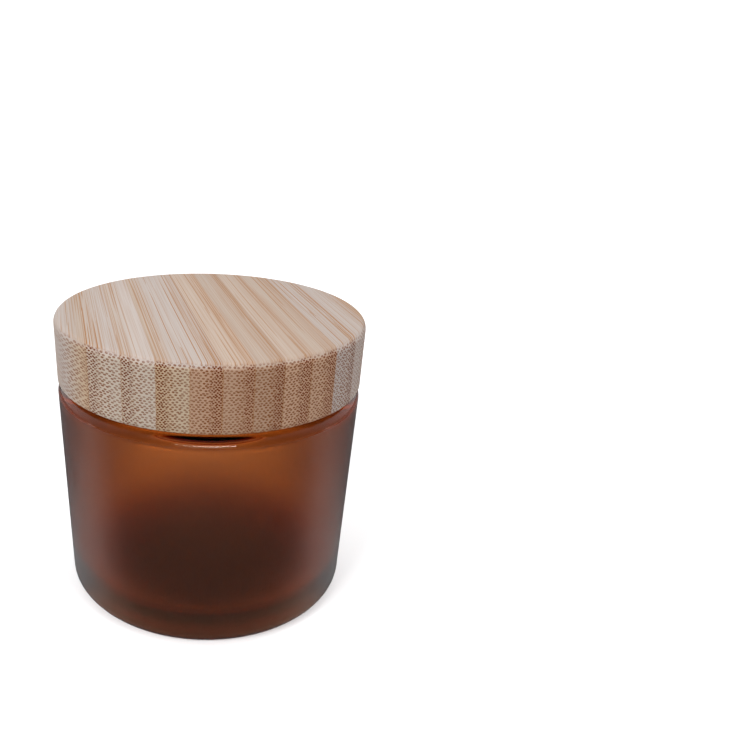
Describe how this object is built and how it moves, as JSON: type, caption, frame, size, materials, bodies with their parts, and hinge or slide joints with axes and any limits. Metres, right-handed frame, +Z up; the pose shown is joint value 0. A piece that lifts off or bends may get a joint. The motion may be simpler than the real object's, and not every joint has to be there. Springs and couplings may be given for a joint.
{
  "type": "candle jar",
  "caption": "Empty wide-mouth candle jar of frosted amber glass, with a screw lid turned from laminated bamboo.",
  "frame": {"origin": "centre of the ring that the jar stands on, in the plane of the table", "axes": "+Z up along the jar's axis; -Y is the front, and the lid's fibres run 11.5 degrees from the Y axis, from the front right to the back left"},
  "size_m": [0.0844, 0.0844, 0.082],
  "materials": {
    "amber_glass": "acid-frosted body below the shoulder, fire-polished shoulder and neck",
    "foam": "expanded polyethylene foam",
    "white_plastic": "moulded polypropylene, satin",
    "bamboo_grey": "sanded, waxed matt",
    "bamboo_tan": "sanded, waxed matt",
    "bamboo_pink": "sanded, waxed matt"
  },
  "bodies": {
    "jar": {"glass_jar": "amber_glass"},
    "liner": {"seal_liner": "foam"},
    "lid": {"lid_insert": "white_plastic", "bamboo_strip_01": "bamboo_grey", "bamboo_strip_02": "bamboo_grey", "bamboo_strip_03": "bamboo_grey", "bamboo_strip_04": "bamboo_grey", "bamboo_strip_05": "bamboo_tan", "bamboo_strip_06": "bamboo_tan", "bamboo_strip_07": "bamboo_pink", "bamboo_strip_08": "bamboo_pink", "bamboo_strip_09": "bamboo_pink", "bamboo_strip_10": "bamboo_tan", "bamboo_strip_11": "bamboo_grey", "bamboo_strip_12": "bamboo_grey"}
  },
  "joints": [
    {"name": "lid_rise", "type": "slide", "parent": "jar", "child": "liner", "axis": [0, 0, 1], "range_m": [0, 0.016]},
    {"name": "lid_turn", "type": "hinge", "parent": "liner", "child": "lid", "pos_m": [0, 0, 0.0743], "axis": [0, 0, 1], "range_deg": [0, 1440]}
  ],
  "couplings": [
    {"joint": "lid_rise", "follows": "lid_turn", "m_per_rad": 0.00063661}
  ]
}
